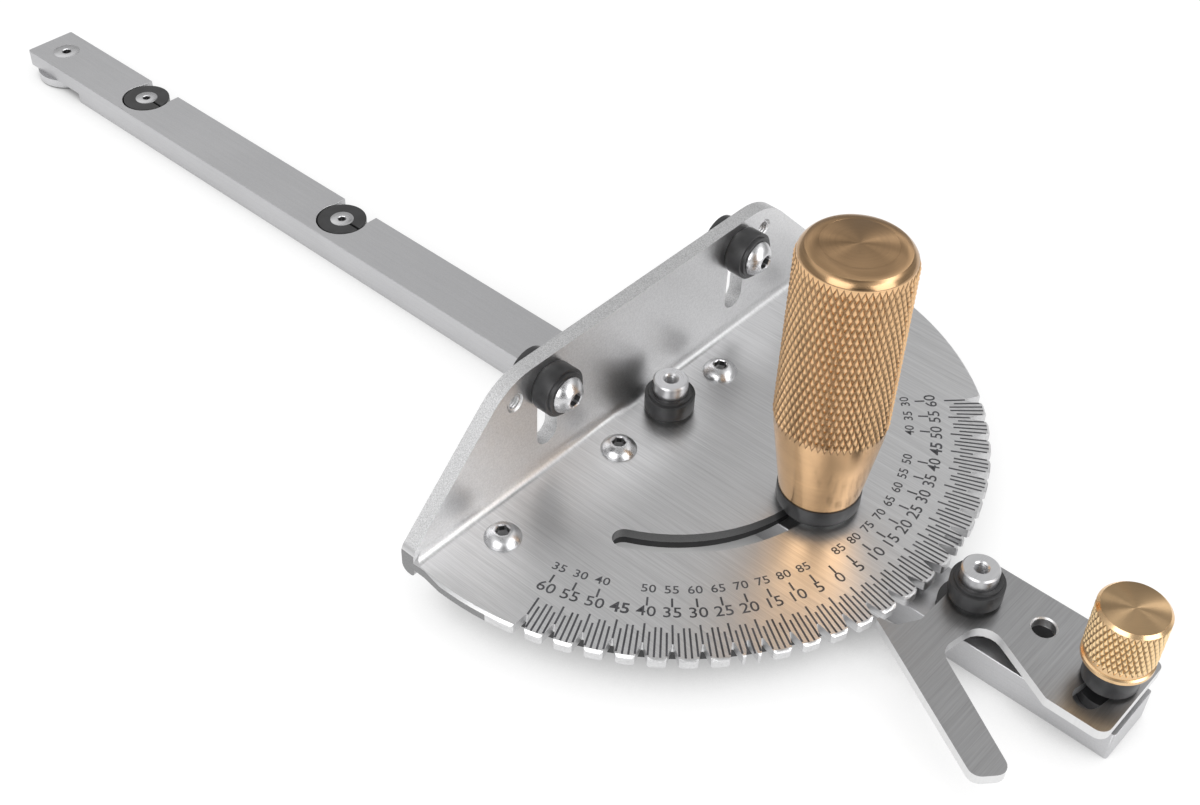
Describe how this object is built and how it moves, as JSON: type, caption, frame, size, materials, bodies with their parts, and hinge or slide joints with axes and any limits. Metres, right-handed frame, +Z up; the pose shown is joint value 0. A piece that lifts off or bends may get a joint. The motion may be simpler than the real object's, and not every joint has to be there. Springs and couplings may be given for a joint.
{
  "type": "miter gauge",
  "caption": "Miter gauge: a bar for a tool table's slot carries a swivelling, notched protractor head with a fence flange, a clamp handle and an index lever with a finger and a lock knob.",
  "frame": {"origin": "on the head's pivot axis, at the underside of the bar", "axes": "+X along the fence flange, +Y along the bar to its far end (the feed direction), +Z up"},
  "size_m": [0.1836, 0.4583, 0.1029],
  "materials": {
    "satin_aluminium": "satin anodised",
    "brushed_plate": "brushed, with a blasted flange edge",
    "steel": "turned, bright",
    "gold_aluminium": "turned and knurled, bronze anodised",
    "black_plastic": "matt black"
  },
  "bodies": {
    "bar": {"miter_bar": "satin_aluminium", "slot_washer": "steel", "slot_washer_screw": "steel", "expansion_disc_far": "black_plastic", "expansion_disc_mid": "black_plastic", "expansion_disc_near": "black_plastic", "pivot_post": "steel", "pivot_collar": "black_plastic", "index_post": "steel", "index_collar": "black_plastic", "index_washer": "black_plastic", "handle_stud": "steel", "knob_stud": "steel", "knob_washer": "black_plastic"},
    "head": {"head_plate": "brushed_plate", "glide_sheet": "black_plastic", "plate_screws": "steel"},
    "index_lever": {"index_plate": "brushed_plate"},
    "handle_thrust": {"handle_washer": "black_plastic"},
    "handle_grip": {"handle": "gold_aluminium"},
    "knob_thrust": {"knob_spacer": "black_plastic"},
    "knob_grip": {"index_knob": "gold_aluminium"},
    "fence_clamp_left": {"fence_bolt_left": "steel", "fence_spacer_left": "black_plastic", "fence_nut_left": "black_plastic"},
    "fence_clamp_right": {"fence_bolt_right": "steel", "fence_spacer_right": "black_plastic", "fence_nut_right": "black_plastic"},
    "disc_adjuster_far": {"expansion_screw_far": "steel"},
    "disc_adjuster_mid": {"expansion_screw_mid": "steel"},
    "disc_adjuster_near": {"expansion_screw_near": "steel"}
  },
  "joints": [
    {"name": "head_swivel", "type": "hinge", "parent": "bar", "child": "head", "pos_m": [0, 0, 0.0129], "axis": [0, 0, 1], "range_deg": [-60, 60]},
    {"name": "index_swing", "type": "hinge", "parent": "bar", "child": "index_lever", "pos_m": [0, -0.1029, 0.0129], "axis": [0, 0, 1], "range_deg": [-5.5, 10]},
    {"name": "handle_lift", "type": "slide", "parent": "bar", "child": "handle_thrust", "axis": [0, 0, 1], "range_m": [0, 0.001]},
    {"name": "handle_turn", "type": "hinge", "parent": "handle_thrust", "child": "handle_grip", "pos_m": [0, -0.0528, 0.022], "axis": [0, 0, 1], "range_deg": [0, 360]},
    {"name": "knob_lift", "type": "slide", "parent": "bar", "child": "knob_thrust", "axis": [0, 0, 1], "range_m": [0, 0.0008]},
    {"name": "knob_turn", "type": "hinge", "parent": "knob_thrust", "child": "knob_grip", "pos_m": [0, -0.142, 0.024], "axis": [0, 0, 1], "range_deg": [0, 360]},
    {"name": "fence_slide_left", "type": "slide", "parent": "head", "child": "fence_clamp_left", "axis": [0, 0, 1], "range_m": [-0.018, 0]},
    {"name": "fence_slide_right", "type": "slide", "parent": "head", "child": "fence_clamp_right", "axis": [0, 0, 1], "range_m": [-0.018, 0]},
    {"name": "disc_adjust_far", "type": "hinge", "parent": "bar", "child": "disc_adjuster_far", "pos_m": [0.00125, 0.2485, 0.0095], "axis": [0, 0, 1], "range_deg": [-90, 90]},
    {"name": "disc_adjust_mid", "type": "hinge", "parent": "bar", "child": "disc_adjuster_mid", "pos_m": [0.00125, 0.1426, 0.0095], "axis": [0, 0, 1], "range_deg": [-90, 90]},
    {"name": "disc_adjust_near", "type": "hinge", "parent": "bar", "child": "disc_adjuster_near", "pos_m": [0.00125, -0.1218, 0.0095], "axis": [0, 0, 1], "range_deg": [-90, 90]}
  ],
  "couplings": [
    {"joint": "handle_turn", "follows": "handle_lift", "rad_per_m": 6283.2},
    {"joint": "knob_turn", "follows": "knob_lift", "rad_per_m": 7854}
  ]
}
